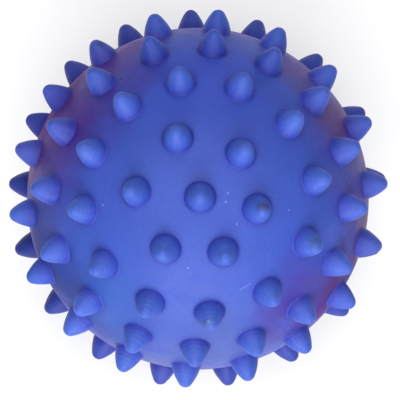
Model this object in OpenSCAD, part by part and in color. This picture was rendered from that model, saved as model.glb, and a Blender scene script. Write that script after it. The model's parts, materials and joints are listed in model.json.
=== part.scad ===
// Spiky sensory ball: a hollow vinyl skin, rings of solid rounded spikes and a pull-out air plug.
// The origin is the centre of the ball and +Z runs out through the crown spike.

/* [Skin] */
// Outside radius of the hollow skin, without the spikes
skin_r = 44.2; // [36:0.1:60]
// Wall thickness of the skin
skin_wall = 2.4; // [1.8:0.1:3.2]

/* [Spike] */
// Radius of a spike where its flank runs into the skin
spike_base_r = 3.8; // [3.2:0.05:4.4]
// Height of a spike above the skin
spike_h = 5.8; // [4.8:0.1:7.5]
// Radius of the rounded tip
tip_r = 1.9; // [1.3:0.05:2.3]
// Radius of the slight outward bulge of the flank
flank_r = 14; // [10:0.5:30]
// Radius of the fillet between flank and foot
foot_fillet = 0.45; // [0.3:0.05:0.8]
// Thickness of the foot's edge where it lies on the skin
foot_lip = 0.1; // [0.06:0.02:0.2]

/* [Ring 1, round the crown spike] */
// Spikes in ring 1
ring_1_count = 6; // [4:1:8]
// Angle of ring 1 from the crown axis
ring_1_polar = 19.5; // [17:0.1:22]
// Bearing of the first spike of ring 1, before crowding
ring_1_turn = 111.8; // [0:0.1:360]
// Most that a spike of ring 1 leaves its even place, in degrees
ring_1_crowd = 7.2; // [0:0.1:8]
// Bearing that the spikes of ring 1 crowd towards
ring_1_crowd_turn = 320; // [0:1:360]
// Angle by which ring 1 leans off the crown axis
ring_1_lean = 1; // [0:0.1:2]
// Bearing that ring 1 leans towards
ring_1_lean_turn = 164; // [0:1:360]

/* [Ring 2] */
// Spikes in ring 2
ring_2_count = 12; // [8:1:15]
// Angle of ring 2 from the crown axis
ring_2_polar = 39.6; // [36:0.1:42]
// Bearing of the first spike of ring 2, before crowding
ring_2_turn = 97.2; // [0:0.1:360]
// Most that a spike of ring 2 leaves its even place, in degrees
ring_2_crowd = 2.6; // [0:0.1:6]
// Bearing that the spikes of ring 2 crowd towards
ring_2_crowd_turn = 159; // [0:1:360]

/* [Ring 3] */
// Spikes in ring 3
ring_3_count = 16; // [10:1:20]
// Angle of ring 3 from the crown axis
ring_3_polar = 56.9; // [54:0.1:60]
// Bearing of the first spike of ring 3, before crowding
ring_3_turn = 109.1; // [0:0.1:360]
// Most that a spike of ring 3 leaves its even place, in degrees
ring_3_crowd = 1.8; // [0:0.1:6]
// Bearing that the spikes of ring 3 crowd towards
ring_3_crowd_turn = 346; // [0:1:360]

/* [Ring 4, above the equator] */
// Spikes in ring 4
ring_4_count = 18; // [12:1:24]
// Angle of ring 4 from the crown axis
ring_4_polar = 74.8; // [72:0.1:78]
// Bearing of the first spike of ring 4, before crowding
ring_4_turn = 104.8; // [0:0.1:360]
// Most that a spike of ring 4 leaves its even place, in degrees
ring_4_crowd = 1; // [0:0.1:6]
// Bearing that the spikes of ring 4 crowd towards
ring_4_crowd_turn = 354; // [0:1:360]

/* [Ring 5, below the equator] */
// Spikes in ring 5
ring_5_count = 17; // [12:1:24]
// Angle of ring 5 from the crown axis
ring_5_polar = 97; // [93:0.1:100]
// Bearing of the first spike of ring 5, before crowding
ring_5_turn = 90.5; // [0:0.1:360]
// Most that a spike of ring 5 leaves its even place, in degrees
ring_5_crowd = 1.6; // [0:0.1:6]
// Bearing that the spikes of ring 5 crowd towards
ring_5_crowd_turn = 175; // [0:1:360]

/* [Ring 6, with the valve in its first place] */
// Places in ring 6, the valve's among them
ring_6_count = 16; // [10:1:18]
// Angle of ring 6 from the crown axis
ring_6_polar = 115.5; // [113:0.1:118]
// Bearing of the valve, the first place of ring 6
ring_6_turn = 135; // [0:0.1:360]

/* [Ring 7] */
// Spikes in ring 7
ring_7_count = 14; // [9:1:18]
// Angle of ring 7 from the crown axis
ring_7_polar = 132.5; // [130:0.1:135]
// Bearing of the first spike of ring 7
ring_7_turn = 122; // [0:0.1:360]

/* [Ring 8] */
// Spikes in ring 8
ring_8_count = 10; // [6:1:13]
// Angle of ring 8 from the crown axis
ring_8_polar = 149.5; // [147:0.1:152]
// Bearing of the first spike of ring 8
ring_8_turn = 99; // [0:0.1:360]

/* [Ring 9, the four spikes that the ball stands on] */
// Spikes in ring 9
ring_9_count = 4; // [3:1:6]
// Angle of ring 9 from the crown axis
ring_9_polar = 166; // [164:0.1:168]
// Bearing of the first spike of ring 9
ring_9_turn = 45; // [0:0.1:360]

/* [Valve] */
// Radius of the plug's head
plug_head_r = 4.6; // [4:0.1:5.5]
// Thickness of the plug's head at its rim
plug_head_t = 1.4; // [1:0.1:1.7]
// Rounding of the head's rim
plug_rim_round = 0.4; // [0.2:0.05:0.8]
// Radius of the plug's stem under the head
plug_stem_r = 2.7; // [2.2:0.05:3.2]
// Radius of the plug's stem at its inner end
plug_end_r = 2.1; // [1.6:0.05:2.1]
// Length of the plug's stem
plug_stem_len = 8; // [6:0.5:12]
// Bevel on the inner end of the stem
plug_end_bevel = 0.6; // [0.3:0.1:1]
// Gap between the stem and the bore of its seat
stem_clear = 0.05; // [0.02:0.01:0.1]
// Gap between the plug's head and the hole in the skin
head_clear = 0.12; // [0.05:0.01:0.3]
// Radius of the seat's flange, bonded inside the skin
seat_flange_r = 9; // [7:0.1:11]
// Thickness of the seat's flange
seat_flange_t = 1.5; // [1:0.1:2.5]
// Wall of the seat's sleeve round the stem
seat_sleeve_wall = 1.6; // [1:0.1:2.5]
// Length of stem that stands out of the sleeve
stem_proud = 1.2; // [0.5:0.1:3]

/* [Hidden] */

skin_colour = [0.33, 0.42, 0.81];
spike_colour = [0.27, 0.35, 0.78];
seat_colour = [0.24, 0.31, 0.68];
plug_colour = [0.22, 0.28, 0.62];

$fn = 96;
skin_fn = 240;

// Where a circle round p meets a circle round q, on the side given by the sign of side
function meet(p, p_r, q, q_r, side) =
    let (
        gap = norm(q - p),
        along = (p_r * p_r - q_r * q_r + gap * gap) / (2 * gap),
        off = sqrt(p_r * p_r - along * along),
        way = (q - p) / gap
    )
    p + along * way + side * off * [-way.y, way.x];

// Height on the valve's axis at which a sphere round the ball's centre has radius r
function height_at(sphere_r, r) = sqrt(sphere_r * sphere_r - r * r);

// The spike's outline: a tip arc, a flank arc tangent to it, and a fillet tangent to flank and foot
ball_c = [0, 0];
tip_c = [0, skin_r + spike_h - tip_r];
flank_foot = [spike_base_r, height_at(skin_r, spike_base_r)];
flank_c = meet(tip_c, flank_r - tip_r, flank_foot, flank_r, -1);
fillet_c = meet(flank_c, flank_r + foot_fillet, ball_c, skin_r + foot_lip + foot_fillet, 1);
tip_end = flank_c + (tip_c - flank_c) * flank_r / (flank_r - tip_r);
flank_end = flank_c + (fillet_c - flank_c) * flank_r / (flank_r + foot_fillet);
foot_end = fillet_c * (skin_r + foot_lip) / norm(fillet_c);
foot_floor = skin_r - spike_h;
// Tangent arcs run past each other by this much, so that they meet at a clean corner
arc_cross = 0.002;

// The valve's levels, measured from the ball's centre along the valve's axis
skin_inner_r = skin_r - skin_wall;
valve_hole_r = plug_head_r + head_clear;
land_z = height_at(skin_r, plug_head_r) - plug_head_t;
stem_end_z = land_z - plug_stem_len;
sleeve_end_z = stem_end_z + stem_proud;
sleeve_r = plug_stem_r + stem_clear + seat_sleeve_wall;
stem_taper = (plug_stem_r - plug_end_r) / (plug_stem_len - plug_end_bevel);
rim_c = [
    plug_head_r - plug_rim_round,
    height_at(skin_r - plug_rim_round, plug_head_r - plug_rim_round)
];
rim_top = rim_c * skin_r / (skin_r - plug_rim_round);

// Turns a shape that stands on +Z to a place on the ball
module place(polar, turn) {
    rotate([0, polar, turn]) children();
}

// What lies outside a circle, out to a width and between two levels
module outside(c, r, width, low, high) {
    difference() {
        translate([0, low]) square([width, high - low]);
        translate(c) circle(r);
    }
}

// Half of a spike's cross-section, with its foot on the skin
module spike_section() {
    difference() {
        translate([0, foot_floor]) square([foot_end.x, 3 * spike_h]);
        outside(tip_c, tip_r + arc_cross, 2 * foot_end.x, tip_end.y, skin_r + 3 * spike_h);
        outside(flank_c, flank_r, 2 * foot_end.x, flank_end.y, skin_r + 2 * spike_h, $fn = skin_fn);
        translate(fillet_c) circle(foot_fillet + arc_cross);
        circle(skin_r, $fn = skin_fn);
    }
}

module spike() {
    color(spike_colour) rotate_extrude() spike_section();
}

// A spike's bearing once its ring has crowded towards one side, from its even place
function crowded(even, crowd, crowd_turn) = even - crowd * sin(even - crowd_turn);

// A ring of spikes, starting from place number first
module spike_ring(count, polar, turn, first = 0, crowd = 0, crowd_turn = 0) {
    for (i = [first : count - 1])
        place(polar, crowded(turn - 360 * i / count, crowd, crowd_turn)) spike();
}

module skin() {
    color(skin_colour)
    difference() {
        sphere(skin_r, $fn = skin_fn);
        sphere(skin_inner_r, $fn = skin_fn);
        place(ring_6_polar, ring_6_turn)
            translate([0, 0, land_z - skin_wall - seat_flange_t])
            cylinder(h = 2 * (skin_wall + seat_flange_t), r = valve_hole_r);
    }
}

module crown_spike() {
    spike();
}

module spike_ring_1() {
    place(ring_1_lean, ring_1_lean_turn) rotate([0, 0, -ring_1_lean_turn])
        spike_ring(ring_1_count, ring_1_polar, ring_1_turn,
                   crowd = ring_1_crowd, crowd_turn = ring_1_crowd_turn);
}

module spike_ring_2() {
    spike_ring(ring_2_count, ring_2_polar, ring_2_turn,
               crowd = ring_2_crowd, crowd_turn = ring_2_crowd_turn);
}

module spike_ring_3() {
    spike_ring(ring_3_count, ring_3_polar, ring_3_turn,
               crowd = ring_3_crowd, crowd_turn = ring_3_crowd_turn);
}

module spike_ring_4() {
    spike_ring(ring_4_count, ring_4_polar, ring_4_turn,
               crowd = ring_4_crowd, crowd_turn = ring_4_crowd_turn);
}

module spike_ring_5() {
    spike_ring(ring_5_count, ring_5_polar, ring_5_turn,
               crowd = ring_5_crowd, crowd_turn = ring_5_crowd_turn);
}

module spike_ring_6() {
    spike_ring(ring_6_count, ring_6_polar, ring_6_turn, first = 1);
}

module spike_ring_7() {
    spike_ring(ring_7_count, ring_7_polar, ring_7_turn);
}

module spike_ring_8() {
    spike_ring(ring_8_count, ring_8_polar, ring_8_turn);
}

module spike_ring_9() {
    spike_ring(ring_9_count, ring_9_polar, ring_9_turn);
}

// Flange under the skin, spigot up into the skin's hole, and a sleeve with a tapered bore
module valve_seat() {
    color(seat_colour)
    place(ring_6_polar, ring_6_turn)
    rotate_extrude()
    difference() {
        union() {
            difference() {
                intersection() {
                    circle(skin_inner_r, $fn = skin_fn);
                    translate([0, sleeve_end_z]) square([seat_flange_r, plug_stem_len]);
                }
                circle(skin_inner_r - seat_flange_t, $fn = skin_fn);
            }
            translate([0, sleeve_end_z]) square([sleeve_r, skin_inner_r - seat_flange_t - sleeve_end_z]);
            translate([0, skin_inner_r - seat_flange_t])
                square([valve_hole_r, land_z - skin_inner_r + seat_flange_t]);
        }
        polygon([
            [0, land_z], [plug_stem_r + stem_clear, land_z],
            [plug_stem_r + stem_clear - stem_taper * (land_z - sleeve_end_z), sleeve_end_z],
            [0, sleeve_end_z]
        ]);
    }
}

// Flush domed head with a rounded rim, and a tapered stem with a bevelled end
module valve_plug() {
    color(plug_colour)
    place(ring_6_polar, ring_6_turn)
    rotate_extrude()
    difference() {
        translate([0, stem_end_z]) square([plug_head_r, skin_r - stem_end_z]);
        outside(ball_c, skin_r, 2 * plug_head_r, land_z, skin_r, $fn = skin_fn);
        difference() {
            polygon([rim_c, [2 * plug_head_r, rim_c.y], 2 * rim_top - rim_c]);
            translate(rim_c) circle(plug_rim_round);
        }
        polygon([
            [plug_stem_r, land_z], [2 * plug_head_r, land_z], [2 * plug_head_r, stem_end_z],
            [plug_end_r - plug_end_bevel, stem_end_z], [plug_end_r, stem_end_z + plug_end_bevel]
        ]);
    }
}

skin();
crown_spike();
spike_ring_1();
spike_ring_2();
spike_ring_3();
spike_ring_4();
spike_ring_5();
spike_ring_6();
spike_ring_7();
spike_ring_8();
spike_ring_9();
valve_seat();
valve_plug();
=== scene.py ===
"""Looks of a spiky sensory ball: a moulded vinyl skin, its rings of rounded spikes and its air valve."""

import json
import logging
import math
import random
from collections.abc import Iterable
from dataclasses import dataclass
from enum import Enum

import bmesh
import bpy
from mathutils import Matrix, Vector, noise
from mathutils.geometry import intersect_sphere_sphere_2d


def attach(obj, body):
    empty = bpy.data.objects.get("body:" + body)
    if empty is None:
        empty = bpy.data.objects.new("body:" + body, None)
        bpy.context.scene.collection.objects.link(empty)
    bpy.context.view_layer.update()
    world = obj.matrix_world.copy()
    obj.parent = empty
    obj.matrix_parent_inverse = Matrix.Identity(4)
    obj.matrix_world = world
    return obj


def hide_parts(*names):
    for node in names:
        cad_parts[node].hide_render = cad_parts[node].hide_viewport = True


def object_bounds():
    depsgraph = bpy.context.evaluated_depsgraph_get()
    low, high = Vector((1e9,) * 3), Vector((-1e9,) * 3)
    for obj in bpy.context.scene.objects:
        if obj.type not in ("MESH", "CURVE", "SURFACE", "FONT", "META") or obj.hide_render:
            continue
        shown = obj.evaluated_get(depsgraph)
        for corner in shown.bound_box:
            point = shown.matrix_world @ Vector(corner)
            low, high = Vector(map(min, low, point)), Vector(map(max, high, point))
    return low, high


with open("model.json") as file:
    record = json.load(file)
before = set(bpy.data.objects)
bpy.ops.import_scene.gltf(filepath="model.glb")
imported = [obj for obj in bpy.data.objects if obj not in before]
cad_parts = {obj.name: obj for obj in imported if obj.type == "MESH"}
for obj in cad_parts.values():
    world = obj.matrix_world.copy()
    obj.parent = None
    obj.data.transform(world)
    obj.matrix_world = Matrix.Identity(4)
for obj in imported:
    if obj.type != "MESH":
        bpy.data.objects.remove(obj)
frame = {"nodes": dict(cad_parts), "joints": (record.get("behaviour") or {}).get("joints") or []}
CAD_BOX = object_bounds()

LOG = logging.getLogger("sensory_ball")
MM = 0.001
ON_AXIS = 1e-6
NOISE_MIDDLE = 0.5
NOISE_RANGE = (0.3, 0.7)
WHITE = (1.0, 1.0, 1.0)
CROWN_NODE = "crown_spike"
RING_NODES = "spike_ring"

# The colour sockets of the Mix node, by number because others have the same names.
MIX_A, MIX_B, MIX_RESULT = 6, 7, 2

Colour = tuple[float, float, float]
Direction = tuple[float, float, float]
Pair = tuple[float, float]
Socket = bpy.types.NodeSocket
Input = Socket | Vector | float | Colour


class Body(Enum):
    """The bodies of the frame that pieces ride on."""

    BALL = "ball"
    PLUG = "plug"


class Slot(Enum):
    """The material slots of the record."""

    SKIN = "skin_vinyl"
    SPIKE = "spike_vinyl"
    SEAT = "seat_vinyl"
    PLUG = "plug_vinyl"


class PigmentAndPaintedLight(Enum):
    """The colours that the ball's blue drifts to: pigments, and some that stand for painted shade and
    painted sheen.
    """

    PURPLE = (0.060, 0.008, 0.25)
    PLUM = (0.078, 0.018, 0.15)
    AZURE = (0.030, 0.105, 0.44)
    # Painted shade: a deeper blue.
    INDIGO_SHADE = (0.030, 0.050, 0.34)
    COBALT = (0.030, 0.068, 0.55)
    # Painted shade: a deeper blue.
    NAVY_SHADE = (0.012, 0.040, 0.31)
    # Painted sheen: a milky paler blue.
    MILKY_SHEEN = (0.080, 0.125, 0.40)
    # Painted shade: a dark slate blue.
    SLATE_SHADE = (0.010, 0.036, 0.19)
    MAUVE = (0.090, 0.010, 0.24)
    # Painted highlight: a paler blue for the spikes.
    PALE_HIGHLIGHT = (0.092, 0.165, 0.66)


class Grime(Enum):
    """The colours of dust, stains and smudges."""

    DUST = (0.75, 0.8, 0.95)
    BROWN = (0.055, 0.052, 0.14)
    GREEN = (0.05, 0.115, 0.25)
    GREY = (0.11, 0.17, 0.36)
    SOOT = (0.03, 0.045, 0.11)
    INK = (0.008, 0.006, 0.02)


@dataclass(frozen=True)
class Spot:
    """A place on the ball, by its angle from the crown axis and its bearing, in degrees."""

    polar: float
    turn: float

    def point(self, radius: float) -> Vector:
        """Gives the spot's point.

        Args:
            radius: Distance of the point from the ball's centre.

        Returns:
            The point, in the frame.
        """
        polar, turn = math.radians(self.polar), math.radians(self.turn)
        across = radius * math.sin(polar)
        return Vector((across * math.cos(turn), across * math.sin(turn), radius * math.cos(polar)))


def farthest(node: str) -> float:
    """Gives the distance from the ball's centre to the farthest point of a CAD node."""
    return max(v.co.length for v in frame["nodes"][node].data.vertices)


def stand_on(axis: Vector) -> Matrix:
    """Gives the turn that takes +Z to an axis."""
    return Vector((0, 0, 1)).rotation_difference(axis).to_matrix()


def arc(centre: Vector, radius: float, start: Vector, end: Vector, steps: int) -> list[Vector]:
    """Samples the shorter arc between two points of a circle.

    Args:
        centre: Centre of the circle, as radius from the axis and height along it.
        radius: Radius of the circle.
        start: Point where the arc starts.
        end: Point where the arc ends.
        steps: Number of chords.

    Returns:
        The points of the arc, with both ends.
    """
    first = math.atan2(start.y - centre.y, start.x - centre.x)
    sweep = math.atan2(end.y - centre.y, end.x - centre.x) - first
    sweep = (sweep + math.pi) % (2 * math.pi) - math.pi
    angles = [first + sweep * i / steps for i in range(steps + 1)]
    return [centre + radius * Vector((math.cos(a), math.sin(a))) for a in angles]


def on_dome(radius: float, angle: float) -> Vector:
    """Gives the point of a circle round the ball's centre, at an angle from the axis in radians."""
    return Vector((radius * math.sin(angle), radius * math.cos(angle)))


def dome(radius: float, start: float, end: float, steps: int) -> list[Vector]:
    """Samples an arc round the ball's centre, between two angles from the axis in radians."""
    return [on_dome(radius, start + (end - start) * i / steps) for i in range(steps + 1)]


def meet(a: Vector, a_r: float, b: Vector, b_r: float) -> list[Vector]:
    """Gives the two points where two circles meet, the one nearer the axis first."""
    return sorted(intersect_sphere_sphere_2d(a, a_r, b, b_r), key=lambda p: p.x)


def spin(bm: bmesh.types.BMesh, outline: list[Vector], turn: Matrix, segments: int,
         closed: bool = False) -> list[bmesh.types.BMVert]:
    """Turns an outline round an axis into faces.

    Args:
        bm: Mesh that takes the faces.
        outline: Points as radius from the axis and height along it.
        turn: Rotation from +Z to the axis.
        segments: Steps round the axis.
        closed: Whether the last point joins the first one.

    Returns:
        The new vertices.
    """
    angles = [2 * math.pi * i / segments for i in range(segments)]
    rows = []
    for p in outline:
        around = angles if p.x > ON_AXIS else [0.0]
        reach = p.x if p.x > ON_AXIS else 0.0
        rows.append([bm.verts.new(turn @ Vector((reach * math.cos(a), reach * math.sin(a), p.y)))
                     for a in around])
    for low, high in zip(rows, rows[1:] + rows[:1] if closed else rows[1:]):
        for i in range(segments):
            corners = [low[i % len(low)], low[(i + 1) % len(low)],
                       high[(i + 1) % len(high)], high[i % len(high)]]
            bm.faces.new(list(dict.fromkeys(corners)))
    return [v for row in rows for v in row]


def smooth_object(name: str, bm: bmesh.types.BMesh, material: bpy.types.Material) -> bpy.types.Object:
    """Makes a smooth object from a mesh and puts it in the scene.

    Args:
        name: Name of the object.
        bm: Its finished mesh, which is freed.
        material: Its material.

    Returns:
        The new object.
    """
    mesh = bpy.data.meshes.new(name)
    bm.to_mesh(mesh)
    bm.free()
    mesh.polygons.foreach_set("use_smooth", [True] * len(mesh.polygons))
    mesh.materials.append(material)
    made = bpy.data.objects.new(name, mesh)
    bpy.context.scene.collection.objects.link(made)
    return made


def piece(name: str, bm: bmesh.types.BMesh, material: bpy.types.Material, body: Body,
          nodes: Iterable[str] = ()) -> bpy.types.Object:
    """Makes a piece of the ball from a mesh and ties it to the frame.

    Args:
        name: Name of the piece.
        bm: Its finished mesh, which is freed.
        material: Its material.
        body: Body that it rides on.
        nodes: CAD nodes that it stands for.

    Returns:
        The new piece.
    """
    bmesh.ops.recalc_face_normals(bm, faces=bm.faces[:])
    made = smooth_object(name, bm, material)
    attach(made, body.value)
    if nodes:
        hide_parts(*nodes)
    return made


class NodeSheet:
    """Lays out the nodes of one material."""

    def __init__(self, name: str) -> None:
        """Starts an empty material with its object coordinates.

        Args:
            name: Name of the material.
        """
        self.material = bpy.data.materials.new(name)
        self.material.use_nodes = True
        self.tree = self.material.node_tree
        self.tree.nodes.clear()
        self.place = self.add("ShaderNodeTexCoord").outputs["Object"]

    def add(self, kind: str, **settings: object) -> bpy.types.Node:
        """Adds a node.

        Args:
            kind: Blender's name of its type.
            **settings: Properties to set on it.

        Returns:
            The new node.
        """
        node = self.tree.nodes.new(kind)
        for name, value in settings.items():
            setattr(node, name, value)
        return node

    def feed(self, socket: Socket, value: Input) -> None:
        """Links a socket to another one, or sets its value.

        Args:
            socket: Input to feed.
            value: Output to link, or the value itself.
        """
        if isinstance(value, bpy.types.NodeSocket):
            self.tree.links.new(value, socket)
        elif socket.type == "RGBA":
            socket.default_value = (*value, 1.0)
        else:
            socket.default_value = value

    def math(self, operation: str, a: Input, b: Input = 0.0) -> Socket:
        """Works out a value from two others.

        Args:
            operation: Blender's name of the operation.
            a: First value.
            b: Second value.

        Returns:
            The output with the result.
        """
        node = self.add("ShaderNodeMath", operation=operation)
        self.feed(node.inputs[0], a)
        self.feed(node.inputs[1], b)
        return node.outputs[0]

    def vector(self, operation: str, a: Input, b: Input) -> bpy.types.Node:
        """Works out a vector or a value from two vectors.

        Args:
            operation: Blender's name of the operation.
            a: First vector.
            b: Second vector.

        Returns:
            The node, whose outputs hold the result.
        """
        node = self.add("ShaderNodeVectorMath", operation=operation)
        self.feed(node.inputs[0], a)
        self.feed(node.inputs[1], b)
        return node

    def fade(self, value: Input, start: float, end: float, low: float = 0.0, high: float = 1.0) -> Socket:
        """Runs smoothly from one value to another.

        Args:
            value: What the result follows.
            start: Value where the result is low.
            end: Value where the result is high.
            low: Result at and before the start.
            high: Result at and past the end.

        Returns:
            The output with the result.
        """
        node = self.add("ShaderNodeMapRange", interpolation_type="SMOOTHSTEP")
        for name, given in (("Value", value), ("From Min", start), ("From Max", end),
                            ("To Min", low), ("To Max", high)):
            self.feed(node.inputs[name], given)
        return node.outputs["Result"]

    def mix(self, share: Input, a: Input, b: Input, blend: str = "MIX") -> Socket:
        """Mixes two colours.

        Args:
            share: Share of the second colour.
            a: First colour.
            b: Second colour.
            blend: Blender's name of the way they are mixed.

        Returns:
            The output with the mixed colour.
        """
        node = self.add("ShaderNodeMix", data_type="RGBA", blend_type=blend)
        self.feed(node.inputs["Factor"], share)
        self.feed(node.inputs[MIX_A], a)
        self.feed(node.inputs[MIX_B], b)
        return node.outputs[MIX_RESULT]

    def grain(self, size: float, detail: float = 2.0) -> Socket:
        """Adds noise between 0 and 1.

        Args:
            size: Size of its lumps, in metres.
            detail: Number of finer layers in it.

        Returns:
            The output with the noise.
        """
        node = self.add("ShaderNodeTexNoise")
        self.feed(node.inputs["Vector"], self.place)
        node.inputs["Scale"].default_value = 1 / size
        node.inputs["Detail"].default_value = detail
        return node.outputs["Fac"]

    def wander(self, size: float, amount: float, detail: float = 2.0) -> Socket:
        """Gives noise about zero, with lumps of a size, times an amount."""
        lumps = self.math("SUBTRACT", self.grain(size, detail), NOISE_MIDDLE)
        return self.math("MULTIPLY", lumps, amount)

    def away(self, point: Input, place: Input | None = None) -> Socket:
        """Gives the distance from a place, or the shaded point, to a point."""
        return self.vector("DISTANCE", place or self.place, point).outputs["Value"]

    def height(self) -> Socket:
        """Measures from the ball's centre.

        Returns:
            The output with the distance of the shaded point.
        """
        node = self.add("ShaderNodeVectorMath", operation="LENGTH")
        self.feed(node.inputs[0], self.place)
        return node.outputs["Value"]

    def bump(self, height: Socket, depth: float, under: Socket | None = None) -> Socket:
        """Adds bumps.

        Args:
            height: Their height between 0 and 1.
            depth: Their depth, in metres.
            under: Normal of the bumps that these lie on.

        Returns:
            The output with the normal.
        """
        node = self.add("ShaderNodeBump")
        node.inputs["Distance"].default_value = depth
        self.feed(node.inputs["Height"], height)
        if under:
            self.feed(node.inputs["Normal"], under)
        return node.outputs["Normal"]

    def shade(self, **settings: Input) -> bpy.types.Material:
        """Finishes the material with a shader.

        Args:
            **settings: What the shader's inputs take, by their names with underscores for spaces.

        Returns:
            The finished material.
        """
        shader = self.add("ShaderNodeBsdfPrincipled")
        for name, value in settings.items():
            self.feed(shader.inputs[name.replace("_", " ")], value)
        out = self.add("ShaderNodeOutputMaterial")
        self.feed(out.inputs["Surface"], shader.outputs["BSDF"])
        return self.material


@dataclass(frozen=True)
class ColourPatch:
    """A cloudy patch where the blue drifts to another colour, which in some patches stands for painted shade
    and painted sheen; its core is a share of its reach.
    """

    patch_tint: PigmentAndPaintedLight
    spot: Spot
    reach: float
    strength: float
    core: float = 0.15

    def paint(self, sheet: NodeSheet, colour: Socket, ball_r: float, drift: Socket,
              share: float = 1.0) -> Socket:
        """Paints the patch.

        Args:
            sheet: Nodes of the material.
            colour: Colour under the patch.
            ball_r: Radius of the skin.
            drift: What the patch's edge wanders by.
            share: Share of its strength that shows.

        Returns:
            The colour with the patch.
        """
        away = sheet.math("ADD", sheet.away(self.spot.point(ball_r)), drift)
        strength = sheet.fade(away, self.reach, self.core * self.reach, 0.0, share * self.strength)
        return sheet.mix(strength, colour, self.patch_tint.value)


@dataclass(frozen=True)
class Mark:
    """A small ragged stain, speck or smudge, on the skin or at a height above it."""

    spot: Spot
    reach: float
    strength: float
    tint: Grime | PigmentAndPaintedLight
    above: float = 0.0
    # Shares of the reach: the lumps of its edge, how far they go, and where it starts and is full.
    lump: float = 0.6
    ragged: float = 1.4
    edge: float = 1.25
    core: float = 0.2

    def paint(self, sheet: NodeSheet, colour: Socket, ball_r: float) -> Socket:
        """Paints the mark.

        Args:
            sheet: Nodes of the material.
            colour: Colour under the mark.
            ball_r: Radius of the skin.

        Returns:
            The colour with the mark.
        """
        away = sheet.away(self.spot.point(ball_r + self.above))
        wander = sheet.wander(self.lump * self.reach, self.ragged * self.reach)
        share = sheet.fade(sheet.math("ADD", away, wander), self.edge * self.reach, self.core * self.reach,
                           0.0, self.strength)
        return sheet.mix(share, colour, self.tint.value)


@dataclass(frozen=True)
class Scratch:
    """A short pale scratch between two spots, fainter in places."""

    start: Spot
    end: Spot
    width: float
    core: float = 0.3
    strength: float = 0.2
    colour: Colour = (0.75, 0.78, 0.9)
    break_size: float = 0.7 * MM
    break_range: Pair = (0.25, 0.55)
    faintest: float = 0.35

    def paint(self, sheet: NodeSheet, colour: Socket, ball_r: float) -> Socket:
        """Paints the scratch.

        Args:
            sheet: Nodes of the material.
            colour: Colour under the scratch.
            ball_r: Radius of the skin.

        Returns:
            The colour with the scratch.
        """
        start = self.start.point(ball_r)
        along = self.end.point(ball_r) - start
        offset = sheet.vector("SUBTRACT", sheet.place, start).outputs["Vector"]
        run = sheet.vector("DOT_PRODUCT", offset, along / along.length_squared).outputs["Value"]
        run = sheet.math("MINIMUM", sheet.math("MAXIMUM", run, 0.0), 1.0)
        nearest = sheet.add("ShaderNodeVectorMath", operation="SCALE")
        sheet.feed(nearest.inputs[0], along)
        sheet.feed(nearest.inputs["Scale"], run)
        line = sheet.fade(sheet.away(nearest.outputs["Vector"], offset), self.width, self.core * self.width)
        broken = sheet.fade(sheet.grain(self.break_size, detail=0.0), *self.break_range, self.faintest, 1.0)
        share = sheet.math("MULTIPLY", sheet.math("MULTIPLY", line, broken), self.strength)
        return sheet.mix(share, colour, self.colour)


@dataclass(frozen=True)
class Dust:
    """Sparse pale dust: one cell in several holds a speck, whose size is a share of the cell's."""

    strength: float = 0.2
    spacing: float = 6.5 * MM
    sparse: Pair = (0.84, 0.86)
    speck: Pair = (0.02, 0.045)
    colour: Colour = (0.7, 0.75, 0.9)

    def paint(self, sheet: NodeSheet, colour: Socket) -> Socket:
        """Scatters the dust all over.

        Args:
            sheet: Nodes of the material.
            colour: Colour under the dust.

        Returns:
            The colour with the dust.
        """
        cell = sheet.add("ShaderNodeTexVoronoi")
        sheet.feed(cell.inputs["Vector"], sheet.place)
        cell.inputs["Scale"].default_value = 1 / self.spacing
        chance = sheet.add("ShaderNodeSeparateColor")
        sheet.feed(chance.inputs["Color"], cell.outputs["Color"])
        kept = sheet.fade(chance.outputs["Red"], *self.sparse)
        size = sheet.fade(chance.outputs["Green"], 0.0, 1.0, *self.speck)
        speck = sheet.math("LESS_THAN", cell.outputs["Distance"], size)
        share = sheet.math("MULTIPLY", sheet.math("MULTIPLY", kept, speck), self.strength)
        return sheet.mix(share, colour, self.colour)
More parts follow.
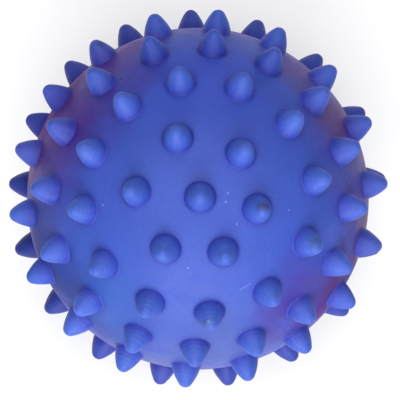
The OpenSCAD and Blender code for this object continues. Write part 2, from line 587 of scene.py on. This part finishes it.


# Colour patches over the whole ball, each over those before it: tint, place, reach and strength. Most are
# pigment; some are painted shade and painted sheen.
PATCHES = (
    ColourPatch(PigmentAndPaintedLight.AZURE, Spot(53, -138), 21 * MM, 0.7),
    ColourPatch(PigmentAndPaintedLight.AZURE, Spot(66, -122), 14 * MM, 0.5),
    # Painted sheen: a milky paler patch on the side facing the key light.
    ColourPatch(PigmentAndPaintedLight.MILKY_SHEEN, Spot(60, -86), 24 * MM, 0.6),
    # Painted shade: deeper blues along the edge towards -X and -Y.
    ColourPatch(PigmentAndPaintedLight.INDIGO_SHADE, Spot(65, -174), 17 * MM, 0.95),
    ColourPatch(PigmentAndPaintedLight.NAVY_SHADE, Spot(61, -149), 15 * MM, 0.9),
    ColourPatch(PigmentAndPaintedLight.NAVY_SHADE, Spot(72, -160), 13 * MM, 0.7),
    ColourPatch(PigmentAndPaintedLight.NAVY_SHADE, Spot(70, -128), 13 * MM, 0.6),
    ColourPatch(PigmentAndPaintedLight.COBALT, Spot(46, 88), 25 * MM, 0.6),
    ColourPatch(PigmentAndPaintedLight.PURPLE, Spot(59, 147), 18 * MM, 0.9),
    ColourPatch(PigmentAndPaintedLight.PURPLE, Spot(40, 140), 11 * MM, 0.25),
    ColourPatch(PigmentAndPaintedLight.PURPLE, Spot(72, 150), 19 * MM, 1.0),
    ColourPatch(PigmentAndPaintedLight.PURPLE, Spot(57, 166), 14 * MM, 0.6),
    ColourPatch(PigmentAndPaintedLight.PURPLE, Spot(66, 128), 15 * MM, 0.75),
    ColourPatch(PigmentAndPaintedLight.PURPLE, Spot(52, 117), 12 * MM, 0.4),
    ColourPatch(PigmentAndPaintedLight.PURPLE, Spot(73, 112), 12 * MM, 0.85),
    ColourPatch(PigmentAndPaintedLight.PLUM, Spot(78, 138), 12 * MM, 0.8),
    ColourPatch(PigmentAndPaintedLight.PLUM, Spot(76, 168), 11 * MM, 0.7),
    ColourPatch(PigmentAndPaintedLight.PURPLE, Spot(71, 27), 14 * MM, 0.8),
    ColourPatch(PigmentAndPaintedLight.PURPLE, Spot(52, 26), 13 * MM, 0.4),
    ColourPatch(PigmentAndPaintedLight.PLUM, Spot(59, 33), 10 * MM, 0.75),
    ColourPatch(PigmentAndPaintedLight.PLUM, Spot(63, 51), 9 * MM, 0.5),
    ColourPatch(PigmentAndPaintedLight.PURPLE, Spot(74, 52), 11 * MM, 0.75),
    ColourPatch(PigmentAndPaintedLight.PURPLE, Spot(60, 1), 13 * MM, 0.55),
    ColourPatch(PigmentAndPaintedLight.PLUM, Spot(80, 6), 13 * MM, 0.9),
    ColourPatch(PigmentAndPaintedLight.PLUM, Spot(76, -14), 13 * MM, 0.85),
    ColourPatch(PigmentAndPaintedLight.PURPLE, Spot(56, -42), 17 * MM, 0.45),
    ColourPatch(PigmentAndPaintedLight.PURPLE, Spot(45, -37), 11 * MM, 0.2),
    ColourPatch(PigmentAndPaintedLight.PURPLE, Spot(73, -42), 14 * MM, 0.95),
    ColourPatch(PigmentAndPaintedLight.PURPLE, Spot(54, -59), 9 * MM, 0.5),
    ColourPatch(PigmentAndPaintedLight.PURPLE, Spot(65, -59), 9 * MM, 0.35),
    ColourPatch(PigmentAndPaintedLight.PLUM, Spot(72, -30), 14 * MM, 0.6),
    ColourPatch(PigmentAndPaintedLight.MAUVE, Spot(80, 128), 12 * MM, 0.75),
    ColourPatch(PigmentAndPaintedLight.MAUVE, Spot(79, 152), 12 * MM, 0.75),
    ColourPatch(PigmentAndPaintedLight.MAUVE, Spot(79, 172), 10 * MM, 0.6),
    # Painted sheen: a milky paler patch along the edge on the same side.
    ColourPatch(PigmentAndPaintedLight.MILKY_SHEEN, Spot(81, -108), 15 * MM, 0.9),
    # Painted shade along the edge towards -X and -Y.
    ColourPatch(PigmentAndPaintedLight.SLATE_SHADE, Spot(74, -152), 14 * MM, 0.85),
    ColourPatch(PigmentAndPaintedLight.SLATE_SHADE, Spot(75, -171), 12 * MM, 0.65),
    ColourPatch(PigmentAndPaintedLight.NAVY_SHADE, Spot(63, -161), 10 * MM, 0.5),
    ColourPatch(PigmentAndPaintedLight.PLUM, Spot(63, -32), 12 * MM, 0.5),
    ColourPatch(PigmentAndPaintedLight.PLUM, Spot(76, 30), 10 * MM, 0.6),
    ColourPatch(PigmentAndPaintedLight.PURPLE, Spot(96, 150), 20 * MM, 0.75),
    ColourPatch(PigmentAndPaintedLight.PURPLE, Spot(128, -60), 19 * MM, 0.6),
    ColourPatch(PigmentAndPaintedLight.PURPLE, Spot(140, 70), 18 * MM, 0.6),
)
# Painted light on the spikes alone: paler, a painted highlight, on the side facing the key light, and
# deeper, a painted shade, on the far side and on the ring below the mould line.
SPIKE_PATCHES = (
    # Painted highlight on the spikes facing the key light.
    ColourPatch(PigmentAndPaintedLight.PALE_HIGHLIGHT, Spot(65, -141), 24 * MM, 0.5),
    ColourPatch(PigmentAndPaintedLight.PALE_HIGHLIGHT, Spot(65, -36), 17 * MM, 0.7),
    ColourPatch(PigmentAndPaintedLight.PALE_HIGHLIGHT, Spot(84, -103), 17 * MM, 0.5),
    # Painted shade on the spikes of the far side.
    ColourPatch(PigmentAndPaintedLight.INDIGO_SHADE, Spot(57, 107), 13 * MM, 0.5),
    ColourPatch(PigmentAndPaintedLight.INDIGO_SHADE, Spot(57, 84), 14 * MM, 0.6),
    ColourPatch(PigmentAndPaintedLight.INDIGO_SHADE, Spot(57, 62), 13 * MM, 0.5),
    # Painted shade on the spikes below the mould line.
    ColourPatch(PigmentAndPaintedLight.SLATE_SHADE, Spot(98, 174), 15 * MM, 0.55),
    ColourPatch(PigmentAndPaintedLight.SLATE_SHADE, Spot(98, -167), 15 * MM, 0.65),
    ColourPatch(PigmentAndPaintedLight.SLATE_SHADE, Spot(98, -146), 15 * MM, 0.35),
)
# Marks on the skin: place, reach, strength and colour.
DUST_SPOTS = (Spot(8.8, 8.6), Spot(14.4, -36), Spot(23.2, -99.6), Spot(32.4, -175.5), Spot(29.7, -8.1),
              Spot(59.2, 5.6), Spot(63.7, -55.6))
SKIN_MARKS = (
    *(Mark(spot, 0.24 * MM, 0.3, Grime.DUST) for spot in DUST_SPOTS),
    Mark(Spot(53, 123.4), 0.5 * MM, 1.0, Grime.INK),
)
SKIN_SCRATCHES = (Scratch(Spot(33.9, -66.5), Spot(33.6, -59.9), 0.2 * MM),)
# Smudges on four of the spikes: place, reach, strength, colour and height above the skin.
SPIKE_MARKS = (
    Mark(Spot(18, -7.5), 1.7 * MM, 0.7, Grime.BROWN, 5.35 * MM),
    Mark(Spot(19.7, -7.6), 0.9 * MM, 0.7, PigmentAndPaintedLight.PLUM, 5 * MM),
    Mark(Spot(39.2, -88.4), 1.2 * MM, 0.7, Grime.GREEN, 4.6 * MM),
    Mark(Spot(38.2, -85.7), 1.5 * MM, 0.4, Grime.GREY, 5.35 * MM),
    Mark(Spot(37.9, -86.1), 0.3 * MM, 0.25, Grime.DUST, 4.95 * MM),
    Mark(Spot(37.9, -21), 2 * MM, 0.5, Grime.GREEN, 4.7 * MM),
    Mark(Spot(73.1, 122.1), 1.4 * MM, 0.75, Grime.SOOT, 4.2 * MM),
)
# Places where the ball is worn dull.
WORN_SPOTS = (Spot(72, -155), Spot(82, 148), Spot(70, -33))


@dataclass(frozen=True)
class Vinyl:
    """Soft moulded vinyl with cloudy pigment, fine grain and handling wear, with painted shade in its
    creases, on its lower half and at the spikes' feet.
    """

    slot: Slot
    ball_r: float
    roughness: Pair
    # Pigment and painted shade: the cloudy blue and the patches in it, painted shade that deepens it on the
    # lower half and at a spike's foot, and a mottle that deepens it all over.
    blue: Colour = (0.046, 0.093, 0.49)
    deep: Colour = (0.041, 0.084, 0.46)
    cloud_size: float = 11 * MM
    drift: float = 12 * MM
    drift_size: float = 8 * MM
    patch_share: float = 1.0
    own_patches: tuple[ColourPatch, ...] = ()
    # Painted shade on the lower half, fading in round the middle of the ball.
    underside_shade: Colour = (0.88, 0.8, 0.88)
    underside_shade_start: float = 3 * MM
    underside_shade_end: float = -7 * MM
    # Painted shade at a spike's foot: the colour darkens towards the skin.
    foot: Colour | None = None
    foot_shade_height: float = 4 * MM
    mottle: Colour = (0.5, 0.5, 0.6)
    mottle_size: float = 0.9 * MM
    mottle_range: Pair = (0.35, 0.65)
    mottle_share: float = 0.14
    # Wear and shade: painted shade in the creases, marks, dust and the places worn dull.
    crease_shade_tint: Colour = (0.42, 0.33, 0.62)
    crease_reach: float = 1.8 * MM
    crease_open: float = 1.0
    crease_full: float = 0.5
    crease_samples: int = 8
    marks: tuple[Mark, ...] = ()
    scratches: tuple[Scratch, ...] = ()
    dust: Dust = Dust()
    worn: tuple[Spot, ...] = WORN_SPOTS
    worn_reach: float = 24 * MM
    worn_core: float = 0.3
    worn_roughness: float = 0.8
    # Relief: dents, grain and, where they have a pitch, the rings left by turning the mould.
    dent_size: float = 5 * MM
    dent_depth: float = 0.05 * MM
    grain_size: float = 0.45 * MM
    grain_depth: float = 0.012 * MM
    turned_pitch: float = 0.0
    turned_depth: float = 0.0155 * MM
    turned_wander: float = 12.0
    turned_wander_size: float = 9 * MM
    # Light: the gloss, the glow of light that goes into the vinyl, and the sheen at the edge.
    gloss_size: float = 3 * MM
    specular: float = 0.5
    ior: float = 1.45
    glow: float = 0.15
    glow_depth: float = 0.9 * MM
    glow_spread: Colour = (1.0, 0.6, 0.9)
    sheen: float = 0.0
    sheen_tint: Colour = (1.0, 0.25, 0.22)
    sheen_spread: float = 0.3

    def clouds(self, sheet: NodeSheet) -> Socket:
        """Lays out the cloudy blue with its patches, with painted shade on the lower half and at a spike's
        foot.

        Args:
            sheet: Nodes of the material.

        Returns:
            The clean colour.
        """
        cloud = sheet.grain(self.cloud_size, detail=3.0)
        colour = sheet.mix(sheet.fade(cloud, *NOISE_RANGE), self.blue, self.deep)
        drift = sheet.wander(self.drift_size, self.drift, detail=3.0)
        for patch in PATCHES:
            colour = patch.paint(sheet, colour, self.ball_r, drift, self.patch_share)
        for patch in self.own_patches:
            colour = patch.paint(sheet, colour, self.ball_r, drift)
        # Painted shade: the lower half of the ball is darkened.
        depth = sheet.add("ShaderNodeSeparateXYZ")
        sheet.feed(depth.inputs["Vector"], sheet.place)
        underside_shade_share = sheet.fade(depth.outputs["Z"], self.underside_shade_start, self.underside_shade_end)
        colour = sheet.mix(underside_shade_share, colour, self.underside_shade, "MULTIPLY")
        # Painted shade: a spike darkens towards its foot.
        if self.foot:
            low = sheet.fade(sheet.height(), self.ball_r + self.foot_shade_height, self.ball_r)
            colour = sheet.mix(low, colour, self.foot, "MULTIPLY")
        mottle = sheet.fade(sheet.grain(self.mottle_size), *self.mottle_range, 0.0, self.mottle_share)
        return sheet.mix(mottle, colour, self.mottle, "MULTIPLY")

    def wear(self, sheet: NodeSheet, colour: Socket) -> Socket:
        """Adds painted shade round the feet of the spikes, then what handling leaves: marks, scratches and
        dust.

        Args:
            sheet: Nodes of the material.
            colour: The clean colour.

        Returns:
            The colour in use.
        """
        # Painted shade: the colour darkens where nearby parts close in, round the feet of the spikes.
        corner = sheet.add("ShaderNodeAmbientOcclusion", samples=self.crease_samples)
        corner.inputs["Distance"].default_value = self.crease_reach
        crease_shade_share = sheet.fade(corner.outputs["AO"], self.crease_open, self.crease_full)
        colour = sheet.mix(crease_shade_share, colour, self.crease_shade_tint, "MULTIPLY")
        for mark in (*self.marks, *self.scratches):
            colour = mark.paint(sheet, colour, self.ball_r)
        return self.dust.paint(sheet, colour)

    def gloss(self, sheet: NodeSheet) -> Socket:
        """Lays out the roughness, higher where the ball is worn dull.

        Args:
            sheet: Nodes of the material.

        Returns:
            The roughness.
        """
        even = sheet.fade(sheet.grain(self.gloss_size, detail=4.0), *NOISE_RANGE, *self.roughness)
        away = sheet.away(self.worn[0].point(self.ball_r))
        for spot in self.worn[1:]:
            away = sheet.math("MINIMUM", away, sheet.away(spot.point(self.ball_r)))
        dull = sheet.fade(away, self.worn_reach, self.worn_core * self.worn_reach, 0.0, self.worn_roughness)
        return sheet.math("MAXIMUM", even, dull)

    def relief(self, sheet: NodeSheet) -> Socket:
        """Lays out the dents and the grain, and the rings left by turning the mould.

        Args:
            sheet: Nodes of the material.

        Returns:
            The normal.
        """
        dents = sheet.bump(sheet.grain(self.dent_size), self.dent_depth)
        grained = sheet.bump(sheet.grain(self.grain_size, detail=3.0), self.grain_depth, dents)
        if not self.turned_pitch:
            return grained
        phase = sheet.math("MULTIPLY", sheet.height(), 2 * math.pi / self.turned_pitch)
        wander = sheet.math("MULTIPLY", sheet.grain(self.turned_wander_size, detail=1.0), self.turned_wander)
        rings = sheet.math("SINE", sheet.math("ADD", phase, wander))
        return sheet.bump(rings, self.turned_depth, grained)

    def build(self) -> bpy.types.Material:
        """Builds the material.

        Returns:
            The finished material.
        """
        sheet = NodeSheet(self.slot.value)
        return sheet.shade(
            Base_Color=self.wear(sheet, self.clouds(sheet)),
            Roughness=self.gloss(sheet),
            Normal=self.relief(sheet),
            IOR=self.ior,
            Specular_IOR_Level=self.specular,
            Subsurface_Weight=self.glow,
            Subsurface_Radius=self.glow_spread,
            Subsurface_Scale=self.glow_depth,
            Sheen_Weight=self.sheen,
            Sheen_Roughness=self.sheen_spread,
            Sheen_Tint=self.sheen_tint,
        )


def skin_vinyl(ball_r: float) -> Vinyl:
    """Gives the skin's milky satin vinyl, for a skin of a radius."""
    return Vinyl(Slot.SKIN, ball_r, roughness=(0.5, 0.6), specular=0.42, sheen=0.1, marks=SKIN_MARKS,
                 scratches=SKIN_SCRATCHES)


def spike_vinyl(ball_r: float) -> Vinyl:
    """Gives the spikes' denser vinyl.

    Args:
        ball_r: Radius of the skin.

    Returns:
        The finish.
    """
    # The spikes take a stronger painted shade on their lower half, and painted shade at their feet.
    return Vinyl(Slot.SPIKE, ball_r, roughness=(0.42, 0.52), blue=(0.061, 0.124, 0.55),
                 deep=(0.055, 0.115, 0.52), specular=0.3, patch_share=0.25, own_patches=SPIKE_PATCHES,
                 foot=(0.72, 0.6, 0.85), underside_shade=(0.64, 0.42, 0.62), marks=SPIKE_MARKS,
                 dust=Dust(strength=0.06), turned_pitch=0.95 * MM)


def seat_vinyl(ball_r: float) -> Vinyl:
    """Gives the valve seat's vinyl, for a skin of a radius."""
    return Vinyl(Slot.SEAT, ball_r, roughness=(0.5, 0.6), patch_share=0.3)


def plug_vinyl(ball_r: float) -> Vinyl:
    """Gives the plug's smoother vinyl, for a skin of a radius."""
    return Vinyl(Slot.PLUG, ball_r, roughness=(0.4, 0.52), patch_share=0.3)


@dataclass
class Skin:
    """The hollow skin: one shell with a round hole for the valve, and its faint mould line."""

    finish: Vinyl
    radius: float
    valve_axis: Vector
    wall: float = 2.4 * MM
    hole_r: float = 4.72 * MM
    hole_round: float = 0.35 * MM
    swell: float = 0.07 * MM
    swell_size: float = 17 * MM
    outer_steps: int = 130
    rim_steps: int = 6
    inner_steps: int = 60
    segments: int = 220
    line_polar: float = 86.8
    line_width: float = 0.7 * MM
    line_height: float = 0.07 * MM
    line_sunk: float = 0.1 * MM
    crest_share: float = 0.3
    crest_steps: int = 3
    line_segments: int = 360

    @property
    def inner_r(self) -> float:
        """Gives the radius of the skin's inside."""
        return self.radius - self.wall

    def outline(self) -> list[Vector]:
        """Draws the shell's section.

        Returns:
            The points from the far pole over the hole's rim and back inside.
        """
        round_r = self.radius - self.hole_round
        rim_x = self.hole_r + self.hole_round
        rim = Vector((rim_x, math.sqrt(round_r**2 - rim_x**2)))
        rim_out = rim * self.radius / round_r
        rim_in = Vector((self.hole_r, rim.y))
        start = math.atan2(rim_out.x, rim_out.y)
        inside = math.asin(self.hole_r / self.inner_r)
        return (dome(self.radius, math.pi, start, self.outer_steps)
                + arc(rim, self.hole_round, rim_out, rim_in, self.rim_steps)[1:]
                + dome(self.inner_r, inside, math.pi, self.inner_steps))

    def lift(self, v: Vector) -> Vector:
        """Gives the slight unevenness of the moulded surface at a point."""
        return v.normalized() * self.swell * noise.noise(v / self.swell_size)

    def shell(self, material: bpy.types.Material) -> bpy.types.Object:
        """Builds the shell, uneven outside but not at the valve's hole.

        Args:
            material: The skin's material.

        Returns:
            The shell.
        """
        bm = bmesh.new()
        hole = self.valve_axis * self.radius
        mid_wall = 0.5 * (self.radius + self.inner_r)
        for v in spin(bm, self.outline(), stand_on(self.valve_axis), self.segments):
            if v.co.length > mid_wall:
                v.co += self.lift(v.co) * min(1.0, (v.co - hole).length / self.swell_size)
        return piece("ball_skin", bm, material, Body.BALL, ["skin"])

    def mould_line(self, material: bpy.types.Material) -> bpy.types.Object:
        """Builds the faint raised line where the mould's halves met.

        Args:
            material: The skin's material.

        Returns:
            The line.
        """
        bm = bmesh.new()
        middle = math.radians(self.line_polar)
        half = 0.5 * self.line_width / self.radius
        top = self.crest_share * half
        sunk = self.radius - self.line_sunk
        crest = dome(self.radius + self.line_height, middle - top, middle + top, self.crest_steps)
        outline = [on_dome(sunk, middle - half), *crest, on_dome(sunk, middle + half)]
        for v in spin(bm, outline, Matrix.Identity(3), self.line_segments, closed=True):
            v.co += self.lift(v.co)
        return piece("mould_line", bm, material, Body.BALL)

    def build(self) -> list[bpy.types.Object]:
        """Builds and dresses the shell and the mould line."""
        material = self.finish.build()
        return [self.shell(material), self.mould_line(material)]


@dataclass(frozen=True)
class SpikeForm:
    """The shape of a spike: a rounded tip on a slightly bulging cone with a filleted foot."""

    skin_r: float
    height: float
    base_r: float = 3.8 * MM
    tip_r: float = 1.9 * MM
    flank_r: float = 14 * MM
    fillet: float = 0.45 * MM
    sunk: float = 0.25 * MM
    sunk_spread: float = 1.03
    tip_steps: int = 7
    flank_steps: int = 9
    fillet_steps: int = 5
    under_steps: int = 3

    def outline(self, height: float, tip_r: float) -> list[Vector]:
        """Draws half of the spike's section.

        Args:
            height: Height of this spike above the skin.
            tip_r: Radius of this spike's tip.

        Returns:
            The points from the tip down the flank, under the foot and back to the axis.
        """
        ball = Vector((0, 0))
        tip = Vector((0, self.skin_r + height - tip_r))
        foot = Vector((self.base_r, math.sqrt(self.skin_r**2 - self.base_r**2)))
        flank = meet(tip, self.flank_r - tip_r, foot, self.flank_r)[0]
        toe = meet(flank, self.flank_r + self.fillet, ball, self.skin_r + self.fillet)[-1]
        top = Vector((0, tip.y + tip_r))
        tip_end = flank + (tip - flank) * self.flank_r / (self.flank_r - tip_r)
        flank_end = flank + (toe - flank) * self.flank_r / (self.flank_r + self.fillet)
        foot_end = toe * self.skin_r / (self.skin_r + self.fillet)
        spread = self.sunk_spread * math.atan2(foot_end.x, foot_end.y)
        return (arc(tip, tip_r, top, tip_end, self.tip_steps)
                + arc(flank, self.flank_r, tip_end, flank_end, self.flank_steps)[1:]
                + arc(toe, self.fillet, flank_end, foot_end, self.fillet_steps)[1:]
                + dome(self.skin_r - self.sunk, spread, 0.0, self.under_steps))


@dataclass
class SpikeRing:
    """One ring of spikes, placed where the CAD node has them, each a little uneven."""

    node: str
    form: SpikeForm
    segments: int = 40
    tip_share: float = 0.97
    lean: float = 1.4
    shorter: float = 0.02
    tip_change: float = 0.04
    lump: float = 0.03 * MM
    lump_size: float = 2.2 * MM
    lump_start: float = 1 * MM

    @property
    def label(self) -> str:
        """Gives the name of the ring's piece."""
        return self.node.replace(RING_NODES, "spikes_ring").replace(CROWN_NODE, "spike_crown")

    def axes(self) -> list[Vector]:
        """Finds the axis of each spike from the tips of the CAD node.

        Returns:
            The axes, in the order of their bearings.
        """
        points = [v.co.copy() for v in frame["nodes"][self.node].data.vertices]
        points.sort(key=lambda p: p.length, reverse=True)
        tip_height = self.form.skin_r + self.tip_share * self.form.height
        apart = 2 * self.form.base_r / self.form.skin_r
        found: list[Vector] = []
        for p in points:
            if p.length < tip_height:
                break
            if all((p.normalized() - axis).length > apart for axis in found):
                found.append(p.normalized())
        return sorted(found, key=lambda axis: math.atan2(axis.y, axis.x))

    def build(self, material: bpy.types.Material) -> bpy.types.Object:
        """Builds the ring, each spike a little different from the next.

        Args:
            material: The spikes' material.

        Returns:
            The ring as one piece.
        """
        rng = random.Random(self.node)
        bm = bmesh.new()
        for axis in self.axes():
            turn = stand_on(axis)
            height = self.form.height * (1 - rng.uniform(0, self.shorter))
            tip_r = self.form.tip_r * (1 + rng.uniform(-self.tip_change, self.tip_change))
            bearing = rng.uniform(0, 2 * math.pi)
            lean = math.tan(math.radians(rng.uniform(0, self.lean)))
            side = turn @ Vector((math.cos(bearing), math.sin(bearing), 0))
            for v in spin(bm, self.form.outline(height, tip_r), turn, self.segments):
                above = max(0.0, v.co.dot(axis) - self.form.skin_r)
                v.co += side * lean * above * min(1.0, above / self.form.height)
                lump = self.lump * noise.noise(v.co / self.lump_size) * min(1.0, above / self.lump_start)
                v.co += v.co.normalized() * lump
        return piece(self.label, bm, material, Body.BALL, [self.node])


@dataclass
class AirValve:
    """The seat bonded inside the skin and the tapered plug that closes it."""

    seat_finish: Vinyl
    plug_finish: Vinyl
    skin: Skin
    head_r: float = 4.6 * MM
    head_t: float = 1.4 * MM
    rim_round: float = 0.4 * MM
    corner: float = 0.15 * MM
    dimple_r: float = 1.1 * MM
    dimple_depth: float = 0.25 * MM
    stem_r: float = 2.7 * MM
    end_r: float = 2.1 * MM
    stem_len: float = 8 * MM
    end_bevel: float = 0.6 * MM
    stem_clear: float = 0.05 * MM
    stem_proud: float = 1.2 * MM
    flange_r: float = 9 * MM
    flange_t: float = 1.5 * MM
    sleeve_wall: float = 1.6 * MM
    dome_steps: int = 8
    rim_steps: int = 6
    segments: int = 96
    sharp_angle: float = 32

    @property
    def land(self) -> float:
        """Gives the height of the land that the plug's head rests on."""
        return math.sqrt(self.skin.radius**2 - self.head_r**2) - self.head_t

    def dimple(self, p: Vector) -> Vector:
        """Gives a point of the plug's head sunk by the dimple in its middle."""
        return p - Vector((0, 0.5 * self.dimple_depth * (1 + math.cos(math.pi * p.x / self.dimple_r))))

    def plug_outline(self) -> list[Vector]:
        """Draws the plug's section.

        Returns:
            The points from the middle of its dimpled head down to the stem's end.
        """
        ball_r = self.skin.radius
        land, end = self.land, self.land - self.stem_len
        round_r = ball_r - self.rim_round
        rim_x = self.head_r - self.rim_round
        rim = Vector((rim_x, math.sqrt(round_r**2 - rim_x**2)))
        rim_out = rim * ball_r / round_r
        rim_side = Vector((self.head_r, rim.y))
        dimple_end = self.dimple_r / ball_r
        return ([self.dimple(p) for p in dome(ball_r, 0.0, dimple_end, self.dome_steps)]
                + dome(ball_r, dimple_end, math.atan2(rim_out.x, rim_out.y), self.dome_steps)[1:]
                + arc(rim, self.rim_round, rim_out, rim_side, self.rim_steps)[1:]
                + [Vector((self.head_r, land + self.corner)), Vector((self.head_r - self.corner, land)),
                   Vector((self.stem_r, land)), Vector((self.end_r, end + self.end_bevel)),
                   Vector((self.end_r - self.end_bevel, end)), Vector((0, end))])

    def seat_outline(self) -> list[Vector]:
        """Draws the seat's section.

        Returns:
            The points of the land, the flange under the skin, the sleeve and the tapered bore.
        """
        inner, hole_r, land = self.skin.inner_r, self.skin.hole_r, self.land
        under = inner - self.flange_t
        bore_r = self.stem_r + self.stem_clear
        sleeve_r = bore_r + self.sleeve_wall
        sleeve_end = land - self.stem_len + self.stem_proud
        taper = (self.stem_r - self.end_r) / (self.stem_len - self.end_bevel)
        bore_end = bore_r - taper * (land - sleeve_end)
        edge_in, edge_out = math.asin(self.flange_r / under), math.asin(self.flange_r / inner)
        return ([Vector((bore_r, land)), Vector((hole_r, land))]
                + dome(inner, math.asin(hole_r / inner), edge_out, self.dome_steps)
                + dome(under, edge_in, math.asin(sleeve_r / under), self.dome_steps)
                + [Vector((sleeve_r, sleeve_end)), Vector((bore_end, sleeve_end))])

    def build(self) -> list[bpy.types.Object]:
        """Builds and dresses the seat and the plug.

        Returns:
            The two pieces.
        """
        turn = stand_on(self.skin.valve_axis)
        seat, plug = bmesh.new(), bmesh.new()
        spin(seat, self.seat_outline(), turn, self.segments, closed=True)
        spin(plug, self.plug_outline(), turn, self.segments)
        seat_material, plug_material = self.seat_finish.build(), self.plug_finish.build()
        made = [piece("valve_seat_ring", seat, seat_material, Body.BALL, ["valve_seat"]),
                piece("valve_stopper", plug, plug_material, Body.PLUG, ["valve_plug"])]
        for part in made:
            part.data.set_sharp_from_angle(angle=math.radians(self.sharp_angle))
        return made


@dataclass(frozen=True)
class FloorPaper:
    """Pale paper with a painted glow round the ball that lifts the ball's shadow; the glow is cut away under
    the ball, which leaves a painted contact shadow there.
    """

    level: float
    white: float = 0.52
    grey: float = 0.5
    glow: Pair = (0.48, 0.06)
    white_r: float = 85 * MM
    grey_r: float = 260 * MM
    contact_r: float = 12 * MM
    clear_r: float = 60 * MM
    cloud_size: float = 60 * MM
    cloud_tone: Pair = (0.985, 1.0)
    roughness: float = 0.85
    specular: float = 0.2

    def build(self) -> bpy.types.Material:
        """Builds the material.

        Returns:
            The finished material.
        """
        sheet = NodeSheet("floor_paper")
        away = sheet.away(Vector((0, 0, self.level)))
        cloud = sheet.fade(sheet.grain(self.cloud_size), *NOISE_RANGE, *self.cloud_tone)
        paper = sheet.fade(away, self.white_r, self.grey_r, self.white, self.grey)
        # Painted light: the glow is strong round the ball and fades far away; near the contact it is cut to
        # a painted contact shadow.
        glow = sheet.fade(away, self.white_r, self.grey_r, *self.glow)
        clear = sheet.fade(away, self.contact_r, self.clear_r)
        return sheet.shade(
            Base_Color=sheet.math("MULTIPLY", paper, cloud),
            Roughness=self.roughness,
            Specular_IOR_Level=self.specular,
            Emission_Color=WHITE,
            Emission_Strength=sheet.math("MULTIPLY", glow, clear),
        )


@dataclass(frozen=True)
class SoftBox:
    """A square soft light aimed at the ball."""

    name: str
    spot: Spot
    distance: float
    size: float
    share: float

    def build(self) -> None:
        """Hangs the light; share is what it gives a white surface that faces it."""
        data = bpy.data.lights.new(self.name, "AREA")
        data.shape = "SQUARE"
        data.size = self.size
        data.energy = self.share * (math.pi * self.distance) ** 2
        data.color = WHITE
        lamp = bpy.data.objects.new(self.name, data)
        lamp.location = self.spot.point(self.distance)
        lamp.rotation_mode = "QUATERNION"
        lamp.rotation_quaternion = lamp.location.to_track_quat("Z", "Y")
        lamp.visible_camera = False
        bpy.context.scene.collection.objects.link(lamp)


@dataclass
class Studio:
    """A pale floor that sweeps up all round, soft lights and the camera above the crown."""

    floor_level: float
    floor_r: float = 2.2
    sweep_r: float = 0.5
    sweep_steps: int = 12
    floor_segments: int = 64
    world: float = 0.01
    camera_distance: float = 618.8 * MM
    camera_lean: Direction = (-0.0133, -0.0072, 0.9999)
    camera_aside: Pair = (0.545 * MM, -0.363 * MM)
    camera_clip: Pair = (0.01, 20.0)
    lens: float = 214.5
    lights: tuple[SoftBox, ...] = (
        SoftBox("front_light", Spot(56, -90), distance=1.9, size=2.4, share=0.78),
        SoftBox("key_light", Spot(58, -94), distance=1.7, size=1.3, share=0.66),
        SoftBox("left_lamp", Spot(25, 180), distance=1.7, size=0.8, share=0.31),
        SoftBox("right_lamp", Spot(25, 0), distance=1.7, size=0.8, share=0.28),
        SoftBox("back_light", Spot(28, 90), distance=1.7, size=0.75, share=0.24),
        SoftBox("rim_light", Spot(70, 85), distance=1.7, size=0.75, share=0.12),
    )

    def floor(self) -> None:
        """Lays the floor."""
        bm = bmesh.new()
        middle = Vector((0, self.floor_level))
        edge = Vector((self.floor_r, self.floor_level))
        centre = edge + Vector((0, self.sweep_r))
        top = centre + Vector((self.sweep_r, 0))
        outline = [middle, *arc(centre, self.sweep_r, edge, top, self.sweep_steps)]
        spin(bm, outline, Matrix.Identity(3), self.floor_segments)
        smooth_object("floor", bm, FloorPaper(self.floor_level).build())

    def camera(self) -> None:
        """Sets the camera above the crown spike, as the photograph sees the ball."""
        back = Vector(self.camera_lean).normalized()
        right = Vector((0, 1, 0)).cross(back).normalized()
        up = back.cross(right)
        data = bpy.data.cameras.new("camera")
        data.lens = self.lens
        data.clip_start, data.clip_end = self.camera_clip
        made = bpy.data.objects.new("camera", data)
        turn = Matrix((right, up, back)).transposed().to_4x4()
        spot = back * self.camera_distance + right * self.camera_aside[0] + up * self.camera_aside[1]
        made.matrix_world = Matrix.Translation(spot) @ turn
        bpy.context.scene.collection.objects.link(made)
        bpy.context.scene.camera = made

    def build(self) -> None:
        """Sets up the floor, the lights, the world and the camera."""
        scene = bpy.context.scene
        scene.view_settings.view_transform = "Standard"
        self.floor()
        for light in self.lights:
            light.build()
        world = bpy.data.worlds.new("studio")
        world.use_nodes = True
        world.node_tree.nodes["Background"].inputs["Color"].default_value = (self.world,) * 3 + (1.0,)
        scene.world = world
        self.camera()


def report(pieces: Iterable[bpy.types.Object]) -> None:
    """Logs the name and the face count of each piece."""
    for made in pieces:
        LOG.info("%s: %d faces", made.name, len(made.data.polygons))


def main() -> None:
    """Builds the ball piece by piece, then the studio."""
    logging.basicConfig(level=logging.INFO, format="%(message)s")
    skin_r = farthest("skin")
    valve_axis = Vector(frame["joints"][0]["axis"]).normalized()

    skin = Skin(skin_vinyl(skin_r), skin_r, valve_axis)
    report(skin.build())
    form = SpikeForm(skin_r, farthest(CROWN_NODE) - skin_r)
    spike_material = spike_vinyl(skin_r).build()
    for node in [CROWN_NODE, *sorted(n for n in frame["nodes"] if n.startswith(RING_NODES))]:
        report([SpikeRing(node, form).build(spike_material)])
    report(AirValve(seat_vinyl(skin_r), plug_vinyl(skin_r), skin).build())
    Studio(CAD_BOX[0].z).build()


if __name__ == "__main__":
    main()
